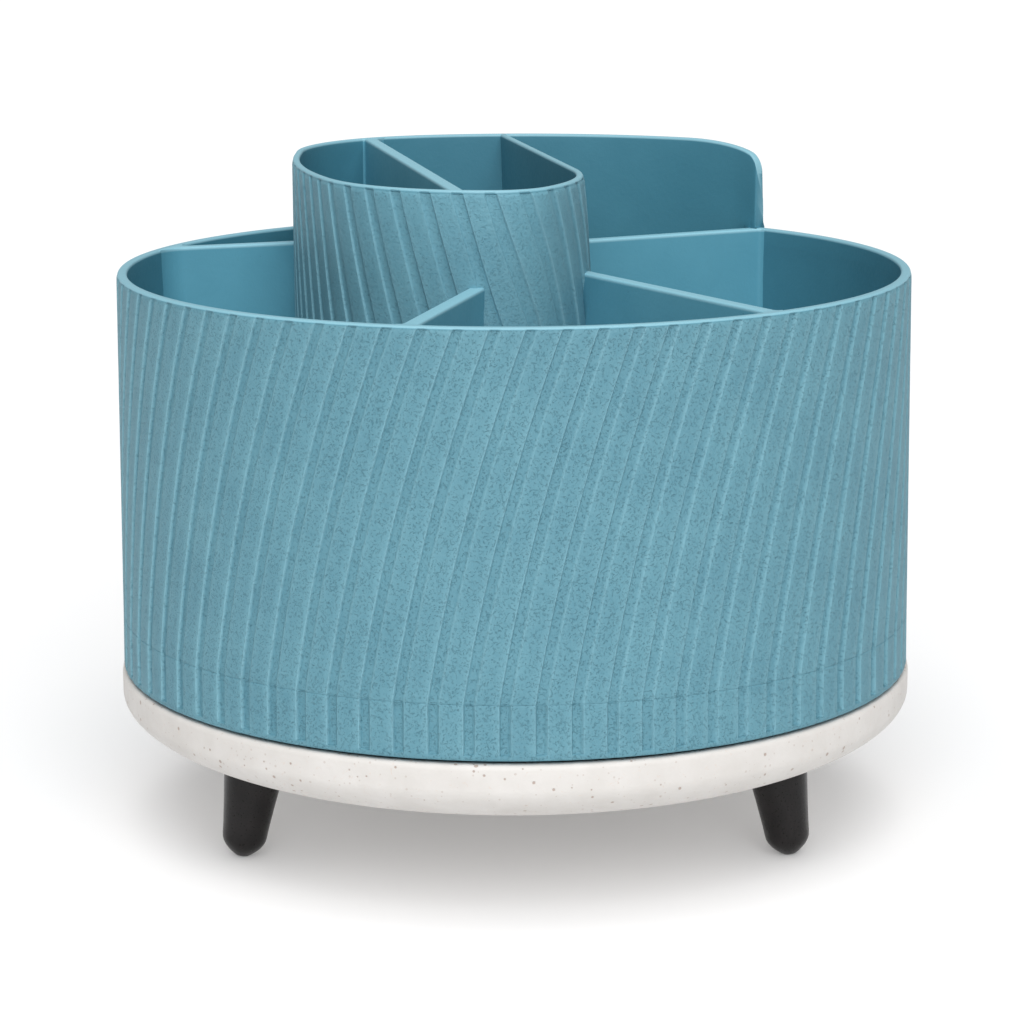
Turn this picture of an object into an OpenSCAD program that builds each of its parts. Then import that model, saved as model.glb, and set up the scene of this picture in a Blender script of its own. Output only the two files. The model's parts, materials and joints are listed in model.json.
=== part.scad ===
// Rotating desk organizer. A ribbed tub with a tall cup and low dividers turns on a ring of
// balls over a round base that stands on three splayed legs.
// Millimetres, +Z up, origin on the desk under the spin axis, front of the tub towards -Y.

/* [Tub] */
// Outside diameter of the tub at its low rim
tub_d = 150; // [146:1:156]
// Height of the low rim above the desk
rim_z = 107.5; // [98:0.5:116]
// How far the raised back wall stands above the low rim
raise_h = 17.5; // [12:0.5:22]
// Tub wall thickness
wall_t = 2; // [1.6:0.1:2.4]
// Tub floor thickness
floor_t = 2.4; // [2:0.1:3]
// Extra radius the outside of the tub gains from rim to foot
flare = 0.6; // [0.3:0.1:1]
// Height of the straight-grooved band round the foot of the tub
skirt_h = 10; // [6:0.5:16]
// Angle of the right-hand end of the raised wall, from the right side towards the back
raise_start = 46.8; // [44:0.1:50]
// Angle at which the raised wall hands over to the cup wall
raise_end = 108; // [107.5:0.5:111]

/* [Ribs] */
// Number of ribs round the tub
rib_count = 76; // [60:1:90]
// Width of the groove between two ribs
groove_w = 1.5; // [1:0.1:2]
// Depth of the groove between two ribs
groove_d = 0.5; // [0.3:0.05:0.7]
// Lean of the tub ribs from vertical
tub_lean = 14.7; // [0:0.1:18]
// Lean of the cup ribs from vertical, the other way
cup_lean = 15.5; // [0:0.1:18]
// Spacing of the ribs along the cup wall
cup_rib_pitch = 5.9; // [5:0.1:8]
// Height of the plain lip above the ribs
lip_h = 1; // [0.6:0.1:2]

/* [Cup] */
// Cup wall thickness
cup_t = 1.4; // [1.2:0.1:2]
// Where the inner face of the right cup wall crosses the X axis
cup_right_x = 13.3; // [12.9:0.1:13.7]
// Angle between the right cup wall and the front-back direction
cup_right_tilt = 12.1; // [11.7:0.1:12.5]
// How far behind the X axis the right cup wall starts to bend
cup_bend_y = 6.5; // [6:0.1:7]
// Inside radius of the gentle bend on the right side of the cup
side_r = 38; // [37:0.5:39]
// Inside radius of the front nose of the cup
nose_r = 11.5; // [11:0.1:12]
// Inside radius of the front-left side of the cup
front_left_r = 32.6; // [32:0.1:33.2]
// Inside radius of the left side of the cup
left_r = 113.5; // [112:0.5:115]
// Inside radius of the rear-left corner of the cup
corner_r = 30.6; // [30:0.1:31.2]
// Thickness of the partition inside the cup
partition_t = 2.4; // [1.6:0.1:3]

/* [Dividers] */
// Thickness of the four low dividers
divider_t = 2.8; // [2:0.1:3.4]
// Direction of the front divider
front_angle = -104.8; // [-108:0.1:-100]
// Direction of the right divider
right_angle = -57.3; // [-61:0.1:-53]
// Direction of the rear divider
rear_angle = 25.6; // [22:0.1:27]
// Direction of the left divider
left_angle = 198.2; // [194:0.1:202]

/* [Base] */
// Outside diameter of the base
base_d = 152; // [152:1:158]
// Height of the base bowl
base_h = 16.9; // [16.5:0.1:18]
// Height of the straight side at the top of the base
base_side = 4.4; // [3:0.1:5]
// Radius of the flat middle of the underside
base_flat_r = 28; // [20:1:34]
// Base wall thickness
base_t = 2.5; // [2.2:0.1:3]
// Running gap between the base and the tub
spin_gap = 0.6; // [0.5:0.1:1]

/* [Legs] */
// Clear height under the base
leg_h = 14.5; // [12:0.5:18]
// Radius of the circle through the leg tips
leg_ring_r = 59.5; // [56:0.5:61]
// Outward lean of the legs
leg_splay = 10; // [6:0.5:12]
// Largest radius of a leg
leg_top_r = 5.8; // [5:0.1:6]
// Radius of a leg just above its rounded tip
leg_tip_r = 4.2; // [3.6:0.1:4.6]

/* [Turntable] */
// Radius of the ball ring
race_r = 45; // [40:1:50]
// Number of balls
ball_count = 18; // [12:1:24]
// Ball radius
ball_r = 2; // [1.8:0.05:2.2]
// Radial clearance of the balls and of the hub
run_clear = 0.05; // [0.03:0.01:0.08]
// Hub radius
hub_r = 7.95; // [7:0.05:9]

/* [Hidden] */
$fn = 96;
tub_r = tub_d / 2;
base_z = leg_h;
base_top_z = base_z + base_h;
tub_z = base_top_z + spin_gap;
floor_z = tub_z + floor_t;
skirt_z = tub_z + skirt_h;
top_z = rim_z + raise_h;
base_r = base_d / 2;
inner_draft = 0.4;
skirt_step = 0.1;
cup_groove_d = 0.4;
corner_inset = 0.3;

race_t = 2;
ball_z = tub_z - race_t - 1;
deck_t = 2.4;
deck_top_z = ball_z - 1 - race_t;
deck_z = deck_top_z - deck_t;
deck_drop = (base_top_z - base_side - deck_z) / (base_h - base_side - base_t);
deck_r = base_flat_r + (base_r - base_flat_r - base_t) * sqrt(1 - deck_drop * deck_drop) - 0.5;
collar_h = 5;
washer_t = 1.2;
washer_z = deck_top_z - collar_h - 0.4 - washer_t;
pivot_head_h = 1.8;
hole_r = hub_r + run_clear;
race_half_w = 6;
cage_half_w = 3.5;
cage_t = 1.2;

raise_corner_run = 20;
raise_corner_r = 62;
raise_nose_r = 2;
front_start = [-5.9, -26];
right_start = [11.3, -6];
rear_start = [4, 31.4];
left_start = [-42, 35.8];
partition_back = [-27.7, 55.7];
partition_front = [-10.3, -26.6];

leg_angles = [210, 330, 90];
deck_screw_angles = [30, 150, 270];
deck_screw_ring_r = 62;
leg_shank_l = 18.6;
leg_boss_l = 20.6;
leg_round_h = 3.8;
leg_screw_l = 10;

teal = [0.36, 0.6, 0.67];
cream = [0.92, 0.9, 0.87];
black = [0.12, 0.11, 0.11];
steel = [0.7, 0.71, 0.73];
nylon = [0.85, 0.85, 0.82];

// Points a direction at an angle.
function along(a) = [cos(a), sin(a)];

// Outside and inside radius of the tub at a height.
function tub_out(z) = tub_r + flare * (rim_z - z) / (rim_z - tub_z);
function tub_in(z) = tub_r - wall_t - inner_draft * (rim_z - z) / (rim_z - tub_z);

// Rounded underside of the base: a quarter ellipse, shrunk by the wall for the inside.
function base_curve(t, n = 24) = [
    for (i = [0 : n])
        [base_flat_r + (base_r - base_flat_r - t) * sin(90 * i / n),
         base_top_z - base_side - (base_h - base_side - t) * cos(90 * i / n)]
];

// Cup outline as tangent arcs, each one [centre, radius, first angle, last angle].
side_end = -34.7;
nose_end = -89.7;
front_end = -157.4;
bend_point = [cup_right_x - cup_bend_y * tan(cup_right_tilt), cup_bend_y];
side_c = bend_point - side_r * along(cup_right_tilt);
nose_c = side_c + (side_r - nose_r) * along(side_end);
front_c = nose_c + (nose_r - front_left_r) * along(nose_end);
left_c = front_c + (front_left_r - left_r) * along(front_end);
// The rear-left corner runs smoothly out to the line of the tub wall.
corner_x = left_c[0] - left_r + corner_r;
corner_reach = tub_r - corner_inset - cup_t - corner_r;
corner_y = sqrt(corner_reach * corner_reach - corner_x * corner_x);
corner_end = atan2(corner_y, corner_x) - 360;
cup_arcs = [
    [side_c, side_r, cup_right_tilt, side_end],
    [nose_c, nose_r, side_end, nose_end],
    [front_c, front_left_r, nose_end, front_end],
    [left_c, left_r, front_end, -180],
    [[corner_x, corner_y], corner_r, -180, corner_end]
];
back_point = bend_point
    + (tub_r + 4 - cup_bend_y) / cos(cup_right_tilt) * along(90 + cup_right_tilt);

// Points along an arc grown outwards by a margin.
function arc_points(arc, grow, n) = [
    for (i = [0 : n])
        arc[0] + (arc[1] + grow) * along(arc[2] + (arc[3] - arc[2]) * i / n)
];

// Places along an arc, one for each groove, as [point, outward angle].
function arc_spots(arc, pitch) =
    let (length = arc[1] * (arc[2] - arc[3]) * PI / 180, n = max(1, round(length / pitch)))
    [for (i = [0 : n - 1])
        let (a = arc[2] + (arc[3] - arc[2]) * (i + 0.5) / n) [arc[0] + arc[1] * along(a), a]];

// The grooves stop where the rear-left corner nears the tub wall.
last_groove = -222;
cup_spots = [
    for (arc = cup_arcs) each
        [for (spot = arc_spots(arc, cup_rib_pitch)) if (spot[1] > last_groove) spot]
];

// Outline of the cup, run out past the tub wall at the back so the tub can trim it.
module cup_outline(grow) {
    polygon(concat(
        [back_point + grow * along(cup_right_tilt)],
        arc_points(cup_arcs[0], grow, 12),
        arc_points(cup_arcs[1], grow, 10),
        arc_points(cup_arcs[2], grow, 16),
        arc_points(cup_arcs[3], grow, 8),
        arc_points(cup_arcs[4], grow, 12),
        [(tub_r + 12) * along(raise_end - 12)]
    ));
}

module cup_block(grow, low = floor_z, high = top_z) {
    translate([0, 0, low])
        linear_extrude(high - low)
            cup_outline(grow);
}

// Cup outline taller than the tub, for cutting the space inside it.
module cup_cutter(grow) {
    cup_block(grow, floor_z - 1, top_z + 1);
}

// Solid inside of the tub wall up to a height.
module tub_core(height) {
    translate([0, 0, tub_z])
        cylinder(r1 = tub_in(tub_z), r2 = tub_in(height), h = height - tub_z);
}

module tub_blank(low, high) {
    translate([0, 0, low])
        cylinder(r1 = tub_out(low), r2 = tub_out(high), h = high - low);
}

// Wedge between two angles, from a height to above the tub.
module wedge(first, last, low = rim_z) {
    far = 2 * tub_r;
    middle = (first + last) / 2;
    translate([0, 0, low])
        linear_extrude(2 * raise_h)
            polygon([[0, 0], far * along(first), far * along(middle), far * along(last)]);
}

// Cuts the top of the raised wall into a long fall and a small rounded corner at its end.
module raise_corner() {
    near = tub_r - 8;
    rotate([0, 0, raise_start])
        translate([near, 0, 0])
            rotate([0, 90, 0])
                linear_extrude(16)
                    difference() {
                        translate([-top_z - 5, -1])
                            square([raise_corner_run + 5, raise_corner_run + 1]);
                        translate([-top_z + raise_corner_r, raise_corner_run])
                            circle(r = raise_corner_r, $fn = 360);
                    }
    rotate([0, 0, raise_start])
        translate([near, 0, 0])
            rotate([0, 90, 0])
                linear_extrude(16)
                    difference() {
                        translate([-top_z - 1, -1])
                            square([raise_nose_r + 4.3, raise_nose_r + 1]);
                        translate([-top_z + raise_nose_r + 3.3, raise_nose_r])
                            circle(r = raise_nose_r);
                    }
}

// Leaning bars that cut the grooves round the tub.
module tub_bars(low, high, lean, centre_z) {
    length = (high - low) / cos(lean) + 2;
    for (i = [0 : rib_count - 1])
        rotate([0, 0, i * 360 / rib_count])
            translate([0, -tub_r, centre_z])
                rotate([0, lean, 0])
                    translate([-groove_w / 2, -4, low - centre_z - 1])
                        cube([groove_w, 8, length]);
}

// Thin skin that keeps every groove the same depth.
module groove_skin(low, high) {
    translate([0, 0, low])
        difference() {
            cylinder(r = tub_r + 3, h = high - low);
            translate([0, 0, -1])
                cylinder(
                    r1 = tub_out(low - 1) - groove_d,
                    r2 = tub_out(high + 1) - groove_d,
                    h = high - low + 2
                );
        }
}

module tub_wall_plain() {
    difference() {
        tub_blank(skirt_z, rim_z);
        tub_core(rim_z + 1);
    }
    difference() {
        intersection() {
            tub_blank(rim_z, top_z);
            wedge(raise_start, raise_end);
        }
        tub_core(top_z + 1);
        raise_corner();
    }
}

module tub_wall() {
    color(teal)
        difference() {
            tub_wall_plain();
            intersection() {
                tub_bars(skirt_z - 2, top_z, tub_lean, (skirt_z + rim_z) / 2);
                union() {
                    groove_skin(skirt_z - 1, rim_z - lip_h);
                    intersection() {
                        groove_skin(rim_z - lip_h - 1, top_z - lip_h);
                        wedge(raise_start + 3, raise_end - 1, rim_z - lip_h - 2);
                    }
                }
            }
        }
}

module tub_skirt() {
    shift = tan(tub_lean) * (rim_z - skirt_z) / 2;
    turn = asin(shift / tub_r);
    color(teal)
        difference() {
            translate([0, 0, tub_z])
                cylinder(r = tub_out(tub_z) + skirt_step, h = skirt_h);
            tub_core(skirt_z + 1);
            for (i = [0 : rib_count - 1])
                rotate([0, 0, i * 360 / rib_count - turn])
                    translate([-groove_w / 2, -tub_out(tub_z) - 2, tub_z - 1])
                        cube([groove_w, 2 + groove_d - skirt_step, skirt_h + 2]);
        }
}

module tub_floor() {
    color(teal)
        difference() {
            translate([0, 0, tub_z])
                cylinder(r1 = tub_in(tub_z), r2 = tub_in(floor_z), h = floor_t);
            translate([0, 0, tub_z - 1])
                cylinder(r = hub_r - 3, h = floor_t - 0.2);
        }
}

// Hub pressed into the tub floor; it turns in the collar of the deck.
module tub_hub() {
    low = washer_z + washer_t;
    color(nylon)
        difference() {
            union() {
                translate([0, 0, low])
                    cylinder(r = hub_r, h = tub_z - low);
                translate([0, 0, tub_z - 0.5])
                    cylinder(r = hub_r - 3, h = floor_t - 0.7);
            }
            translate([0, 0, low - 1])
                cylinder(r = 1.75, h = 10.6);
        }
}

module pivot_washer() {
    color(steel)
        translate([0, 0, washer_z])
            difference() {
                cylinder(r = hub_r + 3.5, h = washer_t);
                translate([0, 0, -1])
                    cylinder(r = 1.9, h = washer_t + 2);
            }
}

module pivot_screw() {
    color(steel)
        difference() {
            union() {
                translate([0, 0, washer_z - pivot_head_h])
                    cylinder(r = 4, h = pivot_head_h);
                translate([0, 0, washer_z - 0.5])
                    cylinder(r = 1.75, h = 10);
            }
            translate([0, 0, washer_z - pivot_head_h - 1])
                for (a = [0, 90])
                    rotate([0, 0, a])
                        translate([-2, -0.4, 0])
                            cube([4, 0.8, 1.9]);
        }
}

module race(low) {
    color(steel)
        rotate_extrude()
            difference() {
                translate([race_r - race_half_w, low])
                    square([2 * race_half_w, race_t]);
                translate([race_r, ball_z])
                    circle(r = ball_r + run_clear);
            }
}

module lower_race() {
    race(deck_top_z);
}

module upper_race() {
    race(tub_z - race_t);
}

module cage_ring() {
    color(nylon)
        translate([0, 0, ball_z - cage_t / 2])
            difference() {
                cylinder(r = race_r + cage_half_w, h = cage_t);
                translate([0, 0, -1])
                    cylinder(r = race_r - cage_half_w, h = cage_t + 2);
                for (i = [0 : ball_count - 1])
                    rotate([0, 0, i * 360 / ball_count])
                        translate([race_r, 0, -1])
                            cylinder(r = ball_r + 0.1, h = cage_t + 2);
            }
}

module bearing_balls() {
    color(steel)
        for (i = [0 : ball_count - 1])
            rotate([0, 0, i * 360 / ball_count])
                translate([race_r, 0, ball_z])
                    sphere(r = ball_r);
}

module cup_wall() {
    color(teal)
        difference() {
            intersection() {
                cup_block(cup_t);
                union() {
                    tub_core(top_z + 1);
                    intersection() {
                        tub_blank(rim_z, top_z);
                        wedge(raise_end, raise_end + 40);
                    }
                }
            }
            cup_cutter(0);
            cup_grooves();
        }
}

// Shallow leaning grooves in the outer face of the cup.
module cup_grooves() {
    middle = (floor_z + top_z) / 2;
    length = (top_z - floor_z) / cos(cup_lean);
    intersection() {
        for (spot = cup_spots)
            translate([spot[0][0], spot[0][1], middle])
                rotate([0, 0, spot[1] + 90])
                    rotate([0, -cup_lean, 0])
                        translate([-groove_w / 2, -cup_t - 2, -length / 2 - 2])
                            cube([groove_w, cup_t + 2, length + 4]);
        difference() {
            translate([0, 0, floor_z - 1])
                cylinder(r = tub_r, h = top_z - lip_h - floor_z + 1);
            cup_cutter(cup_t - cup_groove_d);
        }
    }
}

module cup_partition() {
    run = partition_front - partition_back;
    heading = atan2(run[1], run[0]);
    reach = norm(run) + 40;
    color(teal)
        intersection() {
            translate([partition_back[0], partition_back[1], floor_z])
                rotate([0, 0, heading])
                    translate([-20, -partition_t / 2, 0])
                        cube([reach, partition_t, top_z - floor_z]);
            cup_block(0);
            tub_core(top_z + 1);
        }
}

// Low divider from the cup out to the tub wall.
module divider(start, angle) {
    color(teal)
        difference() {
            intersection() {
                translate([start[0], start[1], floor_z])
                    rotate([0, 0, angle])
                        translate([0, -divider_t / 2, 0])
                            cube([tub_r, divider_t, rim_z - floor_z]);
                tub_core(rim_z + 1);
            }
            cup_cutter(cup_t);
        }
}

module divider_front() {
    divider(front_start, front_angle);
}

module divider_right() {
    divider(right_start, right_angle);
}

module divider_rear() {
    divider(rear_start, rear_angle);
}

module divider_left() {
    divider(left_start, left_angle);
}

// Puts a leg-shaped thing at one leg: the local Z axis runs up the leg from its tip.
module at_leg(angle) {
    rotate([0, 0, angle])
        translate([leg_ring_r, 0, 0])
            rotate([0, -leg_splay, 0])
                children();
}

module leg(angle) {
    color(black)
        intersection() {
            at_leg(angle)
                difference() {
                    rotate_extrude()
                        polygon([
                            [0, -0.5], [1.3, -0.3], [2.3, 0.6], [3.4, 2], [leg_tip_r, leg_round_h],
                            [leg_top_r, leg_shank_l], [0, leg_shank_l]
                        ]);
                    translate([0, 0, leg_shank_l - leg_screw_l + 2])
                        cylinder(r = 1.6, h = leg_screw_l);
                }
            cylinder(r = base_r, h = 2 * leg_h);
        }
}

module leg_left() {
    leg(leg_angles[0]);
}

module leg_right() {
    leg(leg_angles[1]);
}

module leg_rear() {
    leg(leg_angles[2]);
}

module leg_screws() {
    color(steel)
        for (a = leg_angles)
            at_leg(a) {
                translate([0, 0, leg_boss_l])
                    cylinder(r = 3.2, h = 1.3);
                translate([0, 0, leg_shank_l - leg_screw_l + 2])
                    cylinder(r = 1.6, h = leg_screw_l + 0.5);
            }
}

module deck_screws() {
    color(steel)
        for (a = deck_screw_angles)
            rotate([0, 0, a])
                translate([deck_screw_ring_r, 0, 0]) {
                    translate([0, 0, base_z + 5])
                        cylinder(r = 3, h = 1.4);
                    translate([0, 0, base_z + 6])
                        cylinder(r = 1.4, h = deck_top_z - base_z - 6.6);
                }
}

// Bowl of the base with bosses for the legs and posts for the deck.
module base_bowl() {
    color(cream)
        difference() {
            union() {
                rotate_extrude()
                    difference() {
                        polygon(concat(
                            [[0, base_z]], base_curve(0), [[base_r, base_top_z], [0, base_top_z]]
                        ));
                        polygon(concat(
                            [[-1, base_z + base_t]], base_curve(base_t),
                            [[base_r - base_t, base_top_z + 1], [-1, base_top_z + 1]]
                        ));
                    }
                intersection() {
                    union() {
                        for (a = leg_angles)
                            at_leg(a)
                                cylinder(r = leg_top_r + 3, h = leg_boss_l);
                        for (a = deck_screw_angles)
                            rotate([0, 0, a])
                                translate([deck_screw_ring_r, 0, 0])
                                    cylinder(r = 5, h = deck_z);
                    }
                    rotate_extrude()
                        polygon(concat(
                            [[0, base_z]], base_curve(0), [[base_r, base_top_z], [0, base_top_z]]
                        ));
                }
            }
            for (a = leg_angles)
                at_leg(a) {
                    cylinder(r1 = leg_tip_r, r2 = leg_top_r, h = leg_shank_l);
                    cylinder(r = 1.6, h = leg_boss_l + 5);
                }
            for (a = deck_screw_angles)
                rotate([0, 0, a])
                    translate([deck_screw_ring_r, 0, 0]) {
                        cylinder(r = 3.2, h = base_z + 6.4);
                        cylinder(r = 1.4, h = deck_z + 5);
                    }
        }
}

// Deck that closes the bowl and carries the lower race and the collar.
module base_deck() {
    color(cream)
        difference() {
            union() {
                translate([0, 0, deck_z])
                    cylinder(r = deck_r, h = deck_t);
                translate([0, 0, deck_top_z - collar_h])
                    cylinder(r = hole_r + 3.5, h = collar_h);
            }
            translate([0, 0, deck_top_z - collar_h - 1])
                cylinder(r = hole_r, h = collar_h + 2);
            for (a = deck_screw_angles)
                rotate([0, 0, a])
                    translate([deck_screw_ring_r, 0, deck_z - 1])
                        cylinder(r = 1.4, h = deck_t + 0.4);
        }
}

base_bowl();
base_deck();
deck_screws();
leg_left();
leg_right();
leg_rear();
leg_screws();
lower_race();
cage_ring();
bearing_balls();
upper_race();
tub_hub();
pivot_washer();
pivot_screw();
tub_floor();
tub_skirt();
tub_wall();
cup_wall();
cup_partition();
divider_front();
divider_right();
divider_rear();
divider_left();
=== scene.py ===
"""Looks of the rotating desk organizer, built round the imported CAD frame.

Shapes are worked out in millimetres and written to meshes in metres. The tub and the cup are
first laid out on a flat sheet (distance along the wall, height, depth) and then wrapped round
their plan, so that every rib keeps its own columns of vertices.
"""
import json
import math

import bmesh
import bpy
import numpy as np
from mathutils import Matrix, Vector


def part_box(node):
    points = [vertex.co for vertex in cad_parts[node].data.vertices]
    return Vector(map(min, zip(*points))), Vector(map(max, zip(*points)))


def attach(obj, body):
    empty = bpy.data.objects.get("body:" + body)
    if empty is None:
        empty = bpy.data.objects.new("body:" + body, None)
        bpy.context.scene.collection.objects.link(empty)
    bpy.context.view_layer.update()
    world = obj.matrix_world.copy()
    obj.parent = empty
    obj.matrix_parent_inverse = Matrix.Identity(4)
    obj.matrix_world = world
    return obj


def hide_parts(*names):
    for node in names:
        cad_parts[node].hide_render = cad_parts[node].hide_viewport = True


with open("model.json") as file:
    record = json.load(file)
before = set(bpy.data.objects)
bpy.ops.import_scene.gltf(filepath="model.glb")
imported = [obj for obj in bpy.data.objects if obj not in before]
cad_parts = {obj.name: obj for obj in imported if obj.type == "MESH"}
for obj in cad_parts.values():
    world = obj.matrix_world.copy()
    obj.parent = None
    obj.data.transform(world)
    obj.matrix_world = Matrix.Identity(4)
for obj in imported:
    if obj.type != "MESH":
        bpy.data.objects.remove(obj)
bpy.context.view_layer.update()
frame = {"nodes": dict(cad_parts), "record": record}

MM = 0.001


def top_of(node):
    """Height of a CAD node's highest point."""
    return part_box(node)[1].z / MM


def foot_of(node):
    """Height of a CAD node's lowest point."""
    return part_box(node)[0].z / MM


# ---------------------------------------------------------------- main sizes, millimetres
BASE_Z = foot_of("base_bowl")
BASE_TOP = top_of("base_bowl")
BASE_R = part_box("base_bowl")[1].x / MM
DECK_Z = foot_of("base_deck")
TUB_Z = foot_of("tub_skirt")
SKIRT_Z = top_of("tub_skirt")
FLOOR_Z = top_of("tub_floor")
RIM_Z = top_of("divider_front")
TOP_Z = top_of("tub_wall")

# tub: outer radius at the low rim, how much wider it is at its foot, and how much narrower its
# inside is there
TUB_R = 75.0
FLARE = 0.6
WALL_T = 2.0
DRAFT = 0.4
# height at which the plain turn of the tub wall is joined by its low and raised tops
JOIN_Z = RIM_Z - 3.2

# ribs and grooves of the tub; the angle is that of the first groove at the top of the skirt
RIB_COUNT = 76
RIB_PITCH = 2 * math.pi * TUB_R / RIB_COUNT
FIRST_GROOVE = -91.3
GROOVE_W = 2.2
GROOVE_D = 0.5
SKIRT_GROOVE_D = 0.7
# lean of the ribs where they leave the skirt, and how fast it grows with height
RIB_LEAN = 0.16
RIB_BEND = 0.00158

# raised wall: the angle of its right-hand end, the run over which its top falls to that end and
# by how much, and the rounding of the end's upper corner
RAISE_START = 46.8
FALL_RUN, FALL = 18.5, 4.1
NOSE_R = 2.3
# the end face leans out by END_LEAN over END_RUN, with a fillet where it meets the low rim
END_LEAN, END_RUN = 0.4, 3.0
END_FILLET, END_FILLET_H = 0.5, 1.5
END_EDGE_R = 0.32
# the grooves stay clear of the end, and the wall swells towards it
PLAIN_RUN, GROOVE_RUN_IN = 3.2, 1.6
SWELL_RUN = 7.0

# cup: ribs that lean the other way
CUP_T = 1.5
CUP_GROOVE_W = 2.3
CUP_GROOVE_D = 0.42
CUP_PITCH = 5.85
CUP_LEAN = math.tan(math.radians(15.5))
# cup plan: the line of its right side is turned by CUP_TILT and crosses y = 0 at CUP_RIGHT_X;
# from CUP_BEND_Y on it follows arcs of a radius each, up to a direction of the normal
CUP_TILT = 11.66
CUP_RIGHT_X = 12.33
CUP_BEND_Y = 6.7
CUP_BACK_R = 73.9
CUP_ARCS = ((38.4, -33.2), (10.9, -89.0), (32.5, -157.7), (111.5, -180.0))
CORNER_R = 30.5
# angle at which the cup's rear left corner runs into the line of the tub wall, and the length
# over which the cup takes the faces of that wall
CUP_END = 106.2
MEET_RUN = 12
# the cup bulges out below its rim, most of all at the nose
BULGE, BULGE_H = 1.9, 16
# largest radius of the cup where the tub wall hides it
CUP_LIMIT_R = 74.1

DIVIDER_T = 2.8
PARTITION_T = 2.5
# the upper edge of dividers and partition is rounded and lies just under the rim they meet
SLAB_EDGE_R = 0.42
SLAB_DROP = 0.02
# foot of the walls inside the tub, a little into its floor
LOW_Z = FLOOR_Z - 0.3

# plain lip along the rims: its height, and how far it is set in from the ribs
TUB_LIP = 0.8
CUP_LIP = 0.9
LIP_STEP = 0.14

# base: height of its upright side, radius of its flat underside, wall thickness
SIDE = 4.4
BASE_FLAT = 28.0
BASE_T = 2.5
# screw holes through the bowl, and the bosses inside it
SCREW_RING = 62.0
SCREW_ANGLES = (30, 150, 270)
HOLE_R, HOLE_TOP = 3.2, BASE_Z + 6.4
BOSS_R, BOSS_FOOT, BOSS_TOP = 5.0, BASE_Z + 5.3, DECK_Z + 2.6

LEG_RING_R = 59.5
LEG_SPLAY = math.radians(10)

# radius that stands for a point on the axis of a turned shape
TINY = 0.02


def along(degrees):
    """Unit vector in plan."""
    a = math.radians(degrees)
    return np.array([math.cos(a), math.sin(a)])


def tub_out(z):
    return TUB_R + FLARE * (RIM_Z - z) / (RIM_Z - TUB_Z)


def tub_in(z):
    return TUB_R - WALL_T - DRAFT * (RIM_Z - z) / (RIM_Z - TUB_Z)


def wall_depth(z):
    return tub_out(z) - tub_in(z)


def fade(distance, run):
    """1 at no distance, down evenly to 0 at run."""
    return np.clip(1 - distance / run, 0, 1)


def quarter(share):
    """Drop of a quarter circle of radius 1 at a share of the way to its end."""
    return 1 - np.sqrt(1 - share ** 2)


# ---------------------------------------------------------------- materials
# linear colours
TEAL_PALE = (0.109, 0.272, 0.338)
TEAL_DEEP = (0.088, 0.236, 0.302)
CUP_PALE = (0.132, 0.330, 0.412)
CUP_DEEP = (0.110, 0.290, 0.372)
TEAL_CHALK = (0.190, 0.365, 0.425)
TEAL_MARK = (0.048, 0.170, 0.230)
TEAL_SPECK = (0.030, 0.115, 0.160)
# painted highlight colour for rim tops, divider tops and groove edges, where light catches them
TEAL_PAINTED_HIGHLIGHT = (0.330, 0.600, 0.690)
TEAL_IN_PALE = (0.110, 0.352, 0.465)
TEAL_IN_DEEP = (0.096, 0.322, 0.430)
# darker copy of the smooth colours above: painted shade for the inner faces of the tub wall and
# the cup
WALL_SHADE_PALE = (0.064, 0.232, 0.314)
WALL_SHADE_DEEP = (0.054, 0.208, 0.286)
CREAM_DEEP, CREAM_PALE = (0.60, 0.575, 0.548), (0.66, 0.637, 0.614)
CREAM_FIBRE = (0.62, 0.5, 0.42)
CREAM_SPECK = (0.34, 0.24, 0.19)
CREAM_DUST = (0.40, 0.31, 0.26)
BLACK_DEEP, BLACK_PALE = (0.008, 0.007, 0.007), (0.014, 0.012, 0.012)
STEEL_DEEP, STEEL_PALE = (0.52, 0.53, 0.55), (0.66, 0.67, 0.69)
NYLON_DEEP, NYLON_PALE = (0.68, 0.67, 0.6), (0.76, 0.75, 0.69)

# values of a noise between which a colour or a roughness goes from one end to the other
TONE = (0.3, 0.7)
GRAIN = (0.2, 0.8)
# y range over which the cup's finish becomes that of the tub wall it runs into
CUP_BACK = (44.0, 62.0)


def material(name):
    """An empty node material with its shader, and the object coordinates in millimetres."""
    mat = bpy.data.materials.new(name)
    mat.use_nodes = True
    tree = mat.node_tree
    shader = tree.nodes["Principled BSDF"]
    coords = tree.nodes.new("ShaderNodeTexCoord")
    scale = tree.nodes.new("ShaderNodeMapping")
    scale.inputs["Scale"].default_value = (1 / MM, 1 / MM, 1 / MM)
    tree.links.new(coords.outputs["Object"], scale.inputs["Vector"])
    return mat, tree, shader, scale.outputs["Vector"]


def noise(tree, vector, scale, detail=2.0, roughness=0.5, distortion=0.0):
    node = tree.nodes.new("ShaderNodeTexNoise")
    node.inputs["Scale"].default_value = scale
    node.inputs["Detail"].default_value = detail
    node.inputs["Roughness"].default_value = roughness
    node.inputs["Distortion"].default_value = distortion
    tree.links.new(vector, node.inputs["Vector"])
    return node.outputs["Fac"]


def spread(tree, value, low, high, to_low=0.0, to_high=1.0):
    """Maps low..high to to_low..to_high, with the ends held."""
    node = tree.nodes.new("ShaderNodeMapRange")
    node.inputs["From Min"].default_value = low
    node.inputs["From Max"].default_value = high
    node.inputs["To Min"].default_value = to_low
    node.inputs["To Max"].default_value = to_high
    tree.links.new(value, node.inputs["Value"])
    return node.outputs["Result"]


def calc(tree, operation, first, second):
    """A math node; each value is a number or a socket."""
    node = tree.nodes.new("ShaderNodeMath")
    node.operation = operation
    for socket, value in zip(node.inputs, (first, second)):
        if isinstance(value, (int, float)):
            socket.default_value = value
        else:
            tree.links.new(value, socket)
    return node.outputs["Value"]


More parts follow.
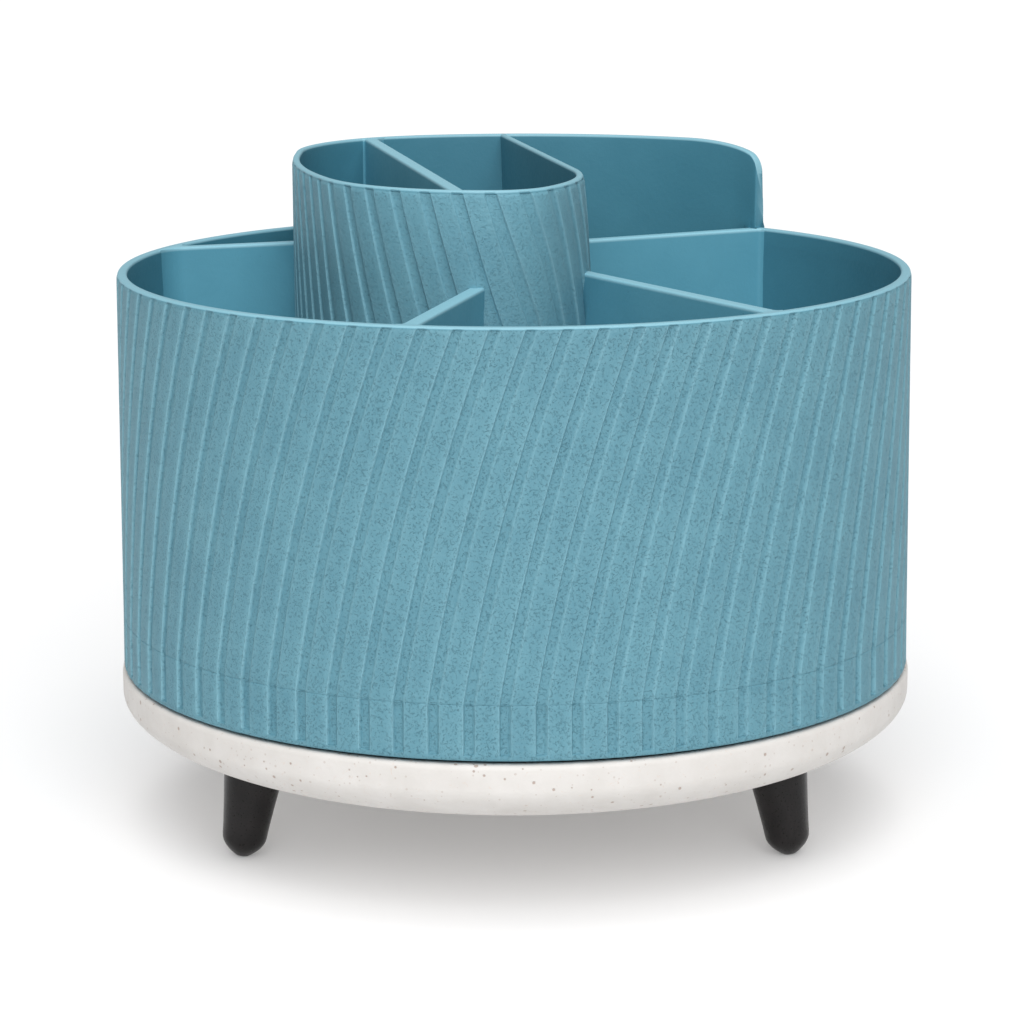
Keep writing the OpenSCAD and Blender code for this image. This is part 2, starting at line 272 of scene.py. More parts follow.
def blend(tree, factor, first, second):
    """Mixes two colours; each is a colour or a socket."""
    node = tree.nodes.new("ShaderNodeMix")
    node.data_type = "RGBA"
    tree.links.new(factor, node.inputs[0])
    for socket, value in ((node.inputs[6], first), (node.inputs[7], second)):
        if isinstance(value, tuple):
            socket.default_value = (*value, 1)
        else:
            tree.links.new(value, socket)
    return node.outputs[2]


def stain(tree, under, mask, strength, colour):
    """Lays a colour over what is under it, where a mask says, at up to a strength."""
    return blend(tree, spread(tree, mask, 0.0, 1.0, 0.0, strength), under, colour)


def specks(tree, vector, cell, share, size):
    """Small round specks: one in some of the cells of a Voronoi pattern."""
    node = tree.nodes.new("ShaderNodeTexVoronoi")
    node.inputs["Scale"].default_value = 1 / cell
    tree.links.new(vector, node.inputs["Vector"])
    split = tree.nodes.new("ShaderNodeSeparateColor")
    tree.links.new(node.outputs["Color"], split.inputs[0])
    radius = spread(tree, split.outputs[0], 1 - share, 1.0, 0.0, size)
    inside = calc(tree, "SUBTRACT", radius, node.outputs["Distance"])
    return spread(tree, inside, 0.0, 0.05)


def squiggles(tree, vector, scale, width, cover):
    """Short wandering hairlines: contour lines of a noise, kept only in patches."""
    field = noise(tree, vector, scale, 1.5, 0.6, 0.8)
    off = calc(tree, "ABSOLUTE", calc(tree, "SUBTRACT", field, 0.5), 0.0)
    line = spread(tree, off, width * 0.4, width, 1.0, 0.0)
    patch = spread(tree, noise(tree, vector, scale * 1.5, 1.0), cover, cover + 0.05)
    return calc(tree, "MULTIPLY", line, patch)


def painted_highlight_mask(tree):
    """The painted highlight that each vertex carries: 1 along rim tops, divider tops and groove
    edges, where light catches them.
    """
    node = tree.nodes.new("ShaderNodeAttribute")
    node.attribute_name = "painted_highlight"
    return node.outputs["Fac"]


def surface(tree, shader, colour, grain, rough, height, relief, specular=0.5):
    """Ends a material: its colour, a roughness that follows the grain, and relief in metres."""
    tree.links.new(colour, shader.inputs["Base Color"])
    tree.links.new(spread(tree, grain, *GRAIN, *rough), shader.inputs["Roughness"])
    shader.inputs["Specular IOR Level"].default_value = specular
    bump = tree.nodes.new("ShaderNodeBump")
    bump.inputs["Strength"].default_value = 1.0
    bump.inputs["Distance"].default_value = relief
    tree.links.new(height, bump.inputs["Height"])
    tree.links.new(bump.outputs["Normal"], shader.inputs["Normal"])


def teal_ribbed(name, deep, pale, marked, back=None):
    """Speckled finish of the ribbed faces, with a painted highlight along rims and groove edges;
    marked sets how strong its marks are and part of that highlight.

    back is the deep and pale colour that it takes on towards the back, if it changes at all.
    """
    mat, tree, shader, mm = material(name)
    cloud = noise(tree, mm, 0.09, 3.0, 0.6)
    grain = noise(tree, mm, 1.6, 3.0, 0.7)
    tone = spread(tree, cloud, *TONE)
    colour = blend(tree, tone, deep, pale)
    if back:
        place = tree.nodes.new("ShaderNodeSeparateXYZ")
        tree.links.new(mm, place.inputs[0])
        behind = spread(tree, place.outputs[1], *CUP_BACK)
        colour = blend(tree, behind, colour, blend(tree, tone, *back))
    colour = blend(tree, spread(tree, grain, 0.35, 0.8, 0.0, 0.3), colour, TEAL_CHALK)
    marks = squiggles(tree, mm, 1.45, 0.035, 0.5)
    dots = specks(tree, mm, 1.3, 0.3, 0.17)
    dust = specks(tree, mm, 0.5, 0.45, 0.26)
    colour = stain(tree, colour, dust, 0.35 * marked, TEAL_MARK)
    colour = stain(tree, colour, marks, 0.5 * marked, TEAL_MARK)
    colour = stain(tree, colour, dots, 0.6 * marked, TEAL_SPECK)
    # painted highlight on rim tops and groove edges
    colour = stain(tree, colour, painted_highlight_mask(tree), 0.2 + 0.3 * marked, TEAL_PAINTED_HIGHLIGHT)
    pits = calc(tree, "MULTIPLY", calc(tree, "MAXIMUM", marks, dots), 0.8 * marked)
    height = calc(tree, "SUBTRACT", grain, pits)
    surface(tree, shader, colour, grain, (0.5, 0.68), height, 0.00012, 0.35)
    return mat


def teal_smooth(name, deep, pale):
    """Finish of the smooth faces, with few and faint specks and a painted highlight along their
    edges.
    """
    mat, tree, shader, mm = material(name)
    cloud = noise(tree, mm, 0.06, 3.0, 0.6)
    grain = noise(tree, mm, 1.1, 3.0, 0.6)
    colour = blend(tree, spread(tree, cloud, *TONE), deep, pale)
    colour = stain(tree, colour, specks(tree, mm, 2.1, 0.22, 0.12), 0.4, TEAL_MARK)
    # painted highlight on rim tops and divider tops
    colour = stain(tree, colour, painted_highlight_mask(tree), 0.6, TEAL_PAINTED_HIGHLIGHT)
    surface(tree, shader, colour, grain, (0.42, 0.56), grain, 0.00004, 0.35)
    return mat


def cream_speckled():
    """Off-white plastic with brown specks, finer dust and a few fibres."""
    mat, tree, shader, mm = material("cream_speckled")
    cloud = noise(tree, mm, 0.12, 3.0, 0.6)
    grain = noise(tree, mm, 1.4, 3.0, 0.6)
    colour = blend(tree, spread(tree, cloud, *TONE), CREAM_DEEP, CREAM_PALE)
    colour = stain(tree, colour, squiggles(tree, mm, 0.5, 0.012, 0.56), 0.35, CREAM_FIBRE)
    dots = specks(tree, mm, 1.7, 0.6, 0.25)
    colour = stain(tree, colour, dots, 0.7, CREAM_SPECK)
    colour = stain(tree, colour, specks(tree, mm, 0.9, 0.5, 0.3), 0.35, CREAM_DUST)
    height = calc(tree, "SUBTRACT", grain, dots)
    surface(tree, shader, colour, grain, (0.45, 0.6), height, 0.00006, 0.35)
    return mat


def unmarked(name, deep, pale, scale, rough, relief, specular=0.5, metallic=0.0, clouds=None):
    """A finish without marks; its colour follows clouds of a scale, or else its grain."""
    mat, tree, shader, mm = material(name)
    grain = noise(tree, mm, scale, 3.0, 0.6)
    cloud = noise(tree, mm, clouds) if clouds else grain
    colour = blend(tree, spread(tree, cloud, *TONE), deep, pale)
    surface(tree, shader, colour, grain, rough, grain, relief, specular)
    shader.inputs["Metallic"].default_value = metallic
    return mat


TEAL_RIBBED = teal_ribbed("teal_ribbed", TEAL_DEEP, TEAL_PALE, 0.8)
TEAL_CUP = teal_ribbed("teal_cup", CUP_DEEP, CUP_PALE, 0.45, back=(TEAL_DEEP, TEAL_PALE))
TEAL_SMOOTH = teal_smooth("teal_smooth", TEAL_IN_DEEP, TEAL_IN_PALE)
# the smooth finish in its darker colours: painted shade on the inner faces of the tub wall and cup
TEAL_SHADED_INSIDE = teal_smooth("teal_shaded_inside", WALL_SHADE_DEEP, WALL_SHADE_PALE)
CREAM = cream_speckled()
BLACK = unmarked("black_satin", BLACK_DEEP, BLACK_PALE, 2.2, (0.24, 0.36), 0.00003, 0.25,
                 clouds=0.25)
STEEL = unmarked("steel_plated", STEEL_DEEP, STEEL_PALE, 1.3, (0.24, 0.4), 0.00002, metallic=1.0)
NYLON = unmarked("nylon_natural", NYLON_DEEP, NYLON_PALE, 0.9, (0.4, 0.55), 0.00003)


# ---------------------------------------------------------------- meshes
class Shape:
    """Vertices in millimetres, faces, a material number for each face and a painted highlight for
    each vertex.
    """

    def __init__(self):
        self.verts = np.zeros((0, 3))
        self.painted_highlight = np.zeros(0)
        self.faces = []
        self.finish = []

    def add(self, verts, faces, finish=0, painted_highlight=None):
        """Adds a part; finish is one number for all of its faces or a list of them."""
        start = len(self.verts)
        verts = np.asarray(verts, float)
        self.verts = np.vstack([self.verts, verts])
        self.painted_highlight = np.concatenate([self.painted_highlight, np.zeros(len(verts)) if painted_highlight is None else painted_highlight])
        self.faces += [tuple(start + i for i in face) for face in faces]
        self.finish += finish if isinstance(finish, list) else [finish] * len(faces)

    def add_block(self, block, wrap):
        """Adds a wall block, wrapped from its flat sheet."""
        verts, faces, finish, painted_highlight = block
        self.add(wrap(verts), faces, finish, painted_highlight)

    def build(self, name, materials, body, slot, nodes, sharp=38):
        """Makes the visible piece that stands for CAD nodes and rides on a body."""
        mesh = bpy.data.meshes.new(name)
        mesh.from_pydata((self.verts * MM).tolist(), [], self.faces)
        for mat in materials:
            mesh.materials.append(mat)
        mesh.polygons.foreach_set("material_index", self.finish)
        mesh.attributes.new("painted_highlight", "FLOAT", "POINT").data.foreach_set("value", self.painted_highlight)
        bm = bmesh.new()
        bm.from_mesh(mesh)
        bmesh.ops.recalc_face_normals(bm, faces=bm.faces)
        bm.to_mesh(mesh)
        bm.free()
        mesh.shade_smooth()
        mesh.set_sharp_from_angle(angle=math.radians(sharp))
        piece = bpy.data.objects.new(name, mesh)
        bpy.context.scene.collection.objects.link(piece)
        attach(piece, body)
        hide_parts(*nodes)
        return piece


# material numbers of the teal walls
RIBBED, SMOOTH = 0, 1


def groove_columns(pitch, first, last, width, left, right):
    """Columns for the grooves centred at first, first + pitch ... up to last.

    Each is [place, share of the groove depth, painted highlight]. left and right are the widths of
    the two sides of a groove.
    """
    half = width / 2
    round_left, round_right = 0.12, 0.10
    # the third number of each point is a painted highlight, bright along the groove edges
    one = [
        (-half - round_left, 0.0, 0.25), (-half, 0.06, 1.0), (-half + left * 0.8, 0.9, 0.1),
        (-half + left, 1.0, 0.0), (half - right, 1.0, 0.0), (half - right * 0.8, 0.93, 0.0),
        (half - right * 0.12, 0.05, 0.5), (half + round_right, 0.0, 0.1),
    ]
    flat = pitch - width - round_left - round_right
    one += [(half + round_right + flat * share, 0.0, 0.0) for share in (0.33, 0.67)]
    count = int(round((last - first) / pitch))
    return np.array([[first + k * pitch + u, d, w] for k in range(count) for u, d, w in one])


def wall_block(columns, rows, shift, turn=False):
    """A wall on the flat sheet: x along the wall, y up, z in from the outer face.

    columns is [place, groove share, painted highlight]; each row is [height, depth, groove depth,
    finish of the faces up to the next row]; shift(height) leans the columns. With turn the last
    column joins the first and there is no rim, so no painted highlight along the top rows. Gives
    vertices, faces, finishes and painted highlight.
    """
    heights = np.array([row[0] for row in rows])
    depths = np.array([row[1] for row in rows])
    grooves = np.array([row[2] for row in rows])
    n, m = len(columns), len(rows)
    x = columns[None, :, 0] + np.array([shift(h) for h in heights])[:, None]
    y = np.repeat(heights[:, None], n, 1)
    z = depths[:, None] + grooves[:, None] * columns[None, :, 1]
    verts = np.stack([x, y, z], -1).reshape(-1, 3)
    # painted highlight: full on the top rows of a rim, and along the groove edges in step with the
    # groove depth
    rim = (heights > heights.max() - 0.5)[:, None] & (not turn)
    edges = (grooves / grooves.max())[:, None] * columns[None, :, 2]
    painted_highlight = np.maximum(edges, rim).reshape(-1)
    faces, finish = [], []
    for j in range(m):
        k = (j + 1) % m
        for i in range(n if turn else n - 1):
            h = (i + 1) % n
            faces.append((j * n + i, j * n + h, k * n + h, k * n + i))
            finish.append(rows[j][3])
    return verts, faces, finish, painted_highlight


def cut_block(block, first, last, slices=()):
    """A wall block cut off and closed at first and last, and sliced without loss at slices."""
    verts, faces, finish, painted_highlight = block
    mesh = bpy.data.meshes.new("sheet")
    mesh.from_pydata(verts.tolist(), [], faces)
    mesh.polygons.foreach_set("material_index", finish)
    mesh.attributes.new("painted_highlight", "FLOAT", "POINT").data.foreach_set("value", painted_highlight)
    bm = bmesh.new()
    bm.from_mesh(mesh)

    def bisect(place, way, clear):
        everything = bm.verts[:] + bm.edges[:] + bm.faces[:]
        bmesh.ops.bisect_plane(bm, geom=everything, dist=1e-5, plane_co=(place, 0, 0),
                               plane_no=(way, 0, 0), clear_outer=clear)

    bisect(first, -1, True)
    bisect(last, 1, True)
    bmesh.ops.holes_fill(bm, edges=[e for e in bm.edges if e.is_boundary], sides=0)
    for place in slices:
        bisect(place, 1, False)
    bm.to_mesh(mesh)
    bm.free()
    verts = np.zeros(len(mesh.vertices) * 3)
    mesh.vertices.foreach_get("co", verts)
    painted_highlight = np.zeros(len(mesh.vertices))
    mesh.attributes["painted_highlight"].data.foreach_get("value", painted_highlight)
    faces = [tuple(p.vertices) for p in mesh.polygons]
    finish = [p.material_index for p in mesh.polygons]
    bpy.data.meshes.remove(mesh)
    return verts.reshape(-1, 3), faces, finish, painted_highlight


def rows_up(low, high, step, depth, groove, finish):
    """Evenly spaced rows from low to high; depth is a function of the height."""
    count = max(1, int(round((high - low) / step)))
    heights = [low + (high - low) * i / count for i in range(count + 1)]
    return [[z, depth(z), groove, finish] for z in heights]


def outer_face(z):
    """Depth of the outer face, for rows_up."""
    return 0.0


def rim_rows(top, lip, thick, groove):
    """The bevelled tops of the ribs, the plain lip set in from them and its rounded edges."""
    rest = groove - LIP_STEP
    return [
        [top - lip - 0.5, 0.0, groove, RIBBED],
        [top - lip - 0.2, 0.02, groove - 0.02, RIBBED],
        [top - lip, LIP_STEP * 0.5, groove - LIP_STEP * 0.5, RIBBED],
        [top - lip + 0.15, LIP_STEP, rest, RIBBED],
        [top - lip + 0.3, LIP_STEP, rest * 0.4, SMOOTH],
        [top - 0.3, LIP_STEP + 0.06, 0.0, SMOOTH],
        [top - 0.14, LIP_STEP + 0.17, 0.0, SMOOTH],
        [top - 0.03, LIP_STEP + 0.3, 0.0, SMOOTH],
        [top, LIP_STEP + 0.42, 0.0, SMOOTH],
        [top, thick - 0.5, 0.0, SMOOTH],
        [top - 0.04, thick - 0.3, 0.0, SMOOTH],
        [top - 0.16, thick - 0.12, 0.0, SMOOTH],
        [top - 0.36, thick - 0.02, 0.0, SMOOTH],
        [top - 0.6, thick, 0.0, SMOOTH],
    ]


# ---------------------------------------------------------------- tub
def tub_shift(z):
    rise = max(0.0, z - SKIRT_Z)
    return RIB_LEAN * rise + RIB_BEND * rise * rise


def wrap_tub(sheet, outer=tub_out):
    """Sheet to tub: x is measured round the rim radius from angle 0."""
    angle = sheet[:, 0] / TUB_R
    radius = np.array([outer(z) for z in sheet[:, 1]]) - sheet[:, 2]
    return np.stack([radius * np.cos(angle), radius * np.sin(angle), sheet[:, 1]], -1)


FULL_TURN = 2 * math.pi * TUB_R
FIRST_X = math.radians(FIRST_GROOVE) * TUB_R
START_X = math.radians(RAISE_START) * TUB_R
END_X = math.radians(CUP_END) * TUB_R

TUB_COLUMNS = groove_columns(RIB_PITCH, FIRST_X, FIRST_X + RIB_COUNT * RIB_PITCH, GROOVE_W,
                             0.28, 0.7)
# a second turn of columns on each side, for walls that are cut out of the full turn
LONG_COLUMNS = np.vstack([
    TUB_COLUMNS + [RIB_COUNT * RIB_PITCH * turn, 0, 0] for turn in (-1, 0, 1)
])
# rounded edges along the fine line between skirt and wall: distance from the line and depth
LINE_EDGE = ((0.0, 0.11), (0.10, 0.03), (0.28, 0.0))


def shape_raise(sheet):
    """Lets the top of the raised wall fall to its rounded right-hand end."""
    shaped = sheet.copy()
    left = np.clip(sheet[:, 0] - START_X, 0, None)
    rise = (sheet[:, 1] - RIM_Z) / (TOP_Z - RIM_Z)
    above = rise > 0
    drop = FALL * quarter(fade(left, FALL_RUN)) + NOSE_R * quarter(fade(left, NOSE_R)) * 0.9
    shaped[above, 1] -= (drop * rise)[above]
    # the end face leans out a little and has a fillet where it meets the low rim
    fillet_out = END_FILLET * quarter(fade(sheet[:, 1] - RIM_Z, END_FILLET_H))
    out = (END_LEAN * (1 - rise) + fillet_out) * fade(left, END_RUN)
    shaped[above, 0] -= out[above]
    # no grooves near the end: only rows below the lip and vertices of the outer face have any
    plain = np.clip((left - PLAIN_RUN) / GROOVE_RUN_IN, 0, 1)
    grooved = (sheet[:, 1] < TOP_Z - 1.3) & (sheet[:, 2] < 0.7)
    shaped[grooved, 2] *= plain[grooved]
    # the inner face swells towards the end, most of all at its foot
    swell = fade(left, SWELL_RUN) ** 2 * (0.3 + 0.7 * np.clip(1 - rise, 0, 1))
    inner = np.clip((sheet[:, 2] - 1.0) / 0.6, 0, 1)
    shaped[above, 2] += (swell * inner)[above]
    # rounded upright edges of the end face
    middle = WALL_T / 2
    side = np.clip((middle - sheet[:, 2]) / middle, -1, 1)
    shaped[:, 2] += END_EDGE_R * quarter(fade(left, END_EDGE_R)) * side
    return shaped


ring = [[SKIRT_Z + up, depth, GROOVE_D, RIBBED] for up, depth in LINE_EDGE]
ring += rows_up(SKIRT_Z + 1.2, JOIN_Z, 2.4, outer_face, GROOVE_D, RIBBED)
ring[-1][3] = SMOOTH
ring += rows_up(SKIRT_Z, JOIN_Z, 12, wall_depth, 0.0, SMOOTH)[::-1]

low_rim = [[JOIN_Z, 0.0, GROOVE_D, RIBBED]] + rim_rows(RIM_Z, TUB_LIP, WALL_T, GROOVE_D)
low_rim.append([JOIN_Z, wall_depth(JOIN_Z), 0.0, SMOOTH])

high_rim = rows_up(JOIN_Z, TOP_Z - 2.8, 1.7, outer_face, GROOVE_D, RIBBED)
high_rim += rim_rows(TOP_Z, TUB_LIP, wall_depth(TOP_Z), GROOVE_D)
high_rim += rows_up(JOIN_Z, TOP_Z - 1.6, 1.7, wall_depth, 0.0, SMOOTH)[::-1]
# extra slices from the end of the raised wall on, where it is rounded
END_SLICES = [START_X + d for d in (0.06, 0.18, 0.32, 0.5, 0.8, 1.2, 1.6, 2.1, 3, 4.5, 7, 10, 14)]

tub = Shape()
tub.add_block(wall_block(TUB_COLUMNS, ring, tub_shift, turn=True), wrap_tub)
tub.add_block(cut_block(wall_block(LONG_COLUMNS, low_rim, tub_shift),
                        END_X, START_X + FULL_TURN), wrap_tub)
tub.add_block(cut_block(wall_block(LONG_COLUMNS, high_rim, tub_shift),
                        START_X, END_X, END_SLICES), lambda sheet: wrap_tub(shape_raise(sheet)))
# inner faces take the painted-shade copy of the smooth finish
tub.build("tub_wall_ribbed", [TEAL_RIBBED, TEAL_SHADED_INSIDE], "tub", "teal_plastic", ["tub_wall"])

SKIRT_TOP_R = tub_out(SKIRT_Z)
SKIRT_FOOT_R = tub_out(TUB_Z) + 0.05


def skirt_out(z):
    return SKIRT_FOOT_R + (SKIRT_TOP_R - SKIRT_FOOT_R) * (z - TUB_Z) / (SKIRT_Z - TUB_Z)


def skirt_depth(z):
    return skirt_out(z) - tub_in(z)


# rounded foot: height over the foot, depth and groove depth
SKIRT_FOOT = ((0.0, 0.5, 0.0), (0.06, 0.28, 0.05), (0.2, 0.1, 0.1), (0.45, 0.0, 0.13),
              (1.0, 0.0, 0.15), (1.15, 0.0, SKIRT_GROOVE_D - 0.1), (1.35, 0.0, SKIRT_GROOVE_D))
band = [[TUB_Z + up, depth, groove, RIBBED] for up, depth, groove in SKIRT_FOOT]
band += rows_up(TUB_Z + 3, SKIRT_Z - 1.0, 2.0, outer_face, SKIRT_GROOVE_D, RIBBED)
band += [[SKIRT_Z - down, depth, groove, RIBBED] for (down, depth), groove
         in zip(LINE_EDGE[::-1], (SKIRT_GROOVE_D, GROOVE_D, GROOVE_D))]
band[-1][3] = SMOOTH
band += rows_up(TUB_Z, SKIRT_Z, 5, skirt_depth, 0.0, SMOOTH)[::-1]
skirt = Shape()
skirt.add_block(wall_block(TUB_COLUMNS, band, tub_shift, turn=True),
                lambda sheet: wrap_tub(sheet, skirt_out))
skirt.build("tub_skirt_ribbed", [TEAL_RIBBED, TEAL_SMOOTH], "tub", "teal_plastic", ["tub_skirt"])


# ---------------------------------------------------------------- cup
def cup_line():
    """The inner edge of the cup's rim from its back right end round to its back left end, as
    arrays of distance, place, direction of the outward normal, and share of the bulge."""
    places, turns, bulges = [], [], []

    def straight(start, end, normal, first, last):
        steps = int(np.linalg.norm(end - start) / 0.5) + 1
        for i in range(steps):
            places.append(start + (end - start) * i / steps)
            turns.append(normal)
            bulges.append(first + (last - first) * i / steps)

    def arc(centre, radius, first, last):
        steps = int(radius * math.radians(abs(first - last)) / 0.3) + 1
        for i in range(steps):
            a = first + (last - first) * i / steps
            places.append(centre + radius * along(a))
            turns.append(a)
            # all of the bulge as far as a normal of -95 degrees, none from -165 on
            bulges.append(min(1.0, max(0.0, (a + 165) / 70)))

    # right side, from the circle where it meets the tub wall to its bend
    bend = np.array([CUP_RIGHT_X - CUP_BEND_Y * math.tan(math.radians(CUP_TILT)), CUP_BEND_Y])
    back = along(90 + CUP_TILT)
    reach = -bend @ back + math.sqrt((bend @ back) ** 2 - bend @ bend + CUP_BACK_R ** 2)
    straight(bend + reach * back, bend, CUP_TILT, 0.3, 1.0)
    # round the nose to the left side
    place, normal = bend, CUP_TILT
    for radius, last in CUP_ARCS:
        centre = place - radius * along(normal)
        arc(centre, radius, normal, last)
        place, normal = centre + radius * along(last), last
    # left side and rear left corner, which ends on the line of the tub wall
    corner = np.array([place[0] + CORNER_R, 0.0])
    corner[1] = math.sqrt((tub_out(TOP_Z) - CUP_T - CORNER_R) ** 2 - corner[0] ** 2)
    straight(place, np.array([place[0], corner[1]]), -180, 0.0, 0.0)
    arc(corner, CORNER_R, -180, CUP_END - 360)
    places.append(corner + CORNER_R * along(CUP_END))
    turns.append(CUP_END - 360)
    bulges.append(0.0)
    places = np.array(places)
    distance = np.concatenate([[0], np.cumsum(np.linalg.norm(np.diff(places, axis=0), axis=1))])
    return distance, places, np.radians(np.array(turns)), np.array(bulges)


CUP_S, CUP_P, CUP_A, CUP_F = cup_line()
CUP_LENGTH = CUP_S[-1]


def cup_shift(z):
    return CUP_LEAN * (z - RIM_Z)


def cup_bulge(z):
    """How far the nose of the cup leans out at a height."""
    return BULGE * (1 - np.exp(-(TOP_Z - z) / BULGE_H))


def wrap_cup(sheet):
    """Sheet to cup: x runs along the inner face, and depth is measured in from the outer face."""
    s, z, depth = sheet.T
    angle = np.interp(s, CUP_S, CUP_A)
    out = CUP_T - depth + cup_bulge(z) * np.interp(s, CUP_S, CUP_F)
    # at its back left end the wall takes both faces of the tub wall it runs into, with its
    # inner face just inside that wall below the low rim
    ease = np.clip((s - (CUP_LENGTH - MEET_RUN)) / MEET_RUN, 0, 1)
    ease = ease * ease * (3 - 2 * ease)
    share = np.clip(depth / CUP_T, 0, 1)
    hidden = np.where(z < RIM_Z, 0.1, 0.0)
    outer = tub_out(z) - tub_out(TOP_Z)
    inner = tub_in(z) + hidden - (tub_out(TOP_Z) - CUP_T)
    out = out + ease * (outer * (1 - share) + inner * share)
    x = np.interp(s, CUP_S, CUP_P[:, 0]) + out * np.cos(angle)
    y = np.interp(s, CUP_S, CUP_P[:, 1]) + out * np.sin(angle)
    # where the tub wall passes outside it, the cup stays inside that wall
    limit = np.where(z < RIM_Z - 0.6, CUP_LIMIT_R, TUB_R)
    held = np.minimum(1.0, limit / np.hypot(x, y))
    return np.stack([x * held, y * held, z], -1)


CUP_COLUMNS = groove_columns(CUP_PITCH, -CUP_PITCH * 6, CUP_LENGTH + CUP_PITCH * 6, CUP_GROOVE_W,
                             0.3, 0.3)
cup_rows = rows_up(LOW_Z, TOP_Z - 3.0, 2.2, outer_face, CUP_GROOVE_D, RIBBED)
cup_rows += rim_rows(TOP_Z, CUP_LIP, CUP_T, CUP_GROOVE_D)
cup_rows += rows_up(LOW_Z, TOP_Z - 1.3, 4.5, lambda z: CUP_T, 0.0, SMOOTH)[::-1]
cup = Shape()
cup.add_block(cut_block(wall_block(CUP_COLUMNS, cup_rows, cup_shift), 0.0, CUP_LENGTH), wrap_cup)
# inner faces take the painted-shade copy of the smooth finish
cup.build("cup_wall_ribbed", [TEAL_CUP, TEAL_SHADED_INSIDE], "tub", "teal_plastic", ["cup_wall"])


# ---------------------------------------------------------------- dividers
# heights between foot and top, and distances from the two ends, at which a slab has vertices
SLAB_LEVELS = (70.0, 86.0, 96.0, 102.0, 106.0, 111.0, 116.0, 120.5)
SLAB_STEPS = 14
NEAR_STOPS = (0.1, 0.25, 0.5, 0.7, 0.9, 1.2, 1.6, 2.0, 2.6, 3.4, 4.4, 5.6)
FAR_STOPS = (0.3, 0.6, 0.8, 1.0, 1.3, 1.6, 2.0, 2.5, 3.0, 3.6, 4.4, 5.6)


def fillet(gap, radius):
    """How much a wall end widens at a gap from the wall that it meets."""
    if gap >= radius:
        return 0.0
    gap = max(gap, 0.0)
    return radius - math.sqrt(radius * radius - (radius - gap) ** 2)


def slab(name, start, angle, near, far, thick, top, fillets, node):
    """An upright wall with a rounded top edge along a line through start.

    near(side, z) and far(side, z) give the ends along the line at an offset to its left.
    fillets are (end, side, gap at the end, radius): end 0 is near, side 0 is left.
    """
    heading, left = along(angle), along(angle + 90)
    length = far(0.0, top) - near(0.0, top)
    stops = [0.0, length] + [length * i / SLAB_STEPS for i in range(1, SLAB_STEPS)]
    stops = sorted({*stops, *NEAR_STOPS, *(length - v for v in FAR_STOPS)})
    corner = [(SLAB_EDGE_R * (1 - math.cos(a)), SLAB_EDGE_R * (1 - math.sin(a)))
              for a in np.radians([0, 22, 45, 68, 90])]
    levels = [LOW_Z] + [z for z in SLAB_LEVELS if z < top - 1] + [top - 0.7]
    verts, painted_highlight = [], []
    for x in stops:
        half = [thick / 2, thick / 2]
        for end, side, gap, radius in fillets:
            half[side] += fillet((length - x if end else x) - gap, radius)
        # the third number of each point is a painted highlight: 1 on the rounded top edge, 0 on
        # the sides
        section = [(half[0], z, 0.0) for z in levels]
        section += [(half[0] - inset, top - drop, 1.0) for inset, drop in corner]
        section += [(-half[1] + inset, top - drop, 1.0) for inset, drop in corner[::-1]]
        section += [(-half[1], z, 0.0) for z in levels[::-1]]
        share = x / length
        for v, z, bright in section:
            place = (near(v, z) + x) * (1 - share) + (far(v, z) - length + x) * share
            verts.append((*(start + heading * place + left * v), z))
            painted_highlight.append(bright)
    n = len(section)
    last = (len(stops) - 1) * n
    faces = [(j + i, j + (i + 1) % n, j + n + (i + 1) % n, j + n + i)
             for j in range(0, last, n) for i in range(n)]
    faces += [tuple(range(n)), tuple(range(last, last + n))]
    shape = Shape()
    shape.add(verts, faces, painted_highlight=np.array(painted_highlight))
    return shape.build(name, [TEAL_SMOOTH], "tub", "teal_plastic", [node])


def crossings(line, start, angle, side):
    """Distances along a heading at which it crosses a line of points, at an offset to its left."""
    across = (line - start) @ along(angle + 90) - side
    ahead = (line - start) @ along(angle)
    i = np.nonzero(across[:-1] * across[1:] <= 0)[0]
    share = across[i] / (across[i] - across[i + 1] + 1e-12)
    return ahead[i] + share * (ahead[i + 1] - ahead[i])


def cup_face(z, out):
    """Outline of the cup at a height, a distance out from its inner face."""
    reach = (out + cup_bulge(z) * CUP_F)[:, None]
    return CUP_P + reach * np.stack([np.cos(CUP_A), np.sin(CUP_A)], -1)


def to_wall(start, angle, sink):
    """End function: a little way into the tub wall."""
    def end(side, z):
        place = start + side * along(angle + 90)
        b = place @ along(angle)
        return -b + math.sqrt(b * b - place @ place + (tub_in(z) + sink) ** 2)
    return end


def to_cup(start, angle, out, pick):
    """End function: out from the cup's inner face, at the crossing that pick chooses."""
    def end(side, z):
        return pick(crossings(cup_face(z, out), start, angle, side))
    return end


def first_ahead(found):
    """The nearest crossing, a little way behind the start or ahead of it."""
    return found[found > -8].min()


WALL_SINK = 0.6
CUP_SINK = 0.5
# name, a place near the cup on its middle line, heading, and fillet radius at the tub wall
DIVIDERS = (
    ("front", (-5.9, -26.0), -104.8, 1.2), ("right", (11.3, -6.0), -57.3, 1.2),
    ("rear", (4.0, 31.4), 25.6, 0.8), ("left", (-42.0, 35.8), 198.2, 3.0),
)
for name, place, angle, radius in DIVIDERS:
    place = np.array(place)
    slab(f"divider_{name}_slab", place, angle,
         to_cup(place, angle, CUP_T - CUP_SINK, first_ahead), to_wall(place, angle, WALL_SINK),
         DIVIDER_T, RIM_Z - SLAB_DROP,
         [(1, side, WALL_SINK, radius) for side in (0, 1)], f"divider_{name}")

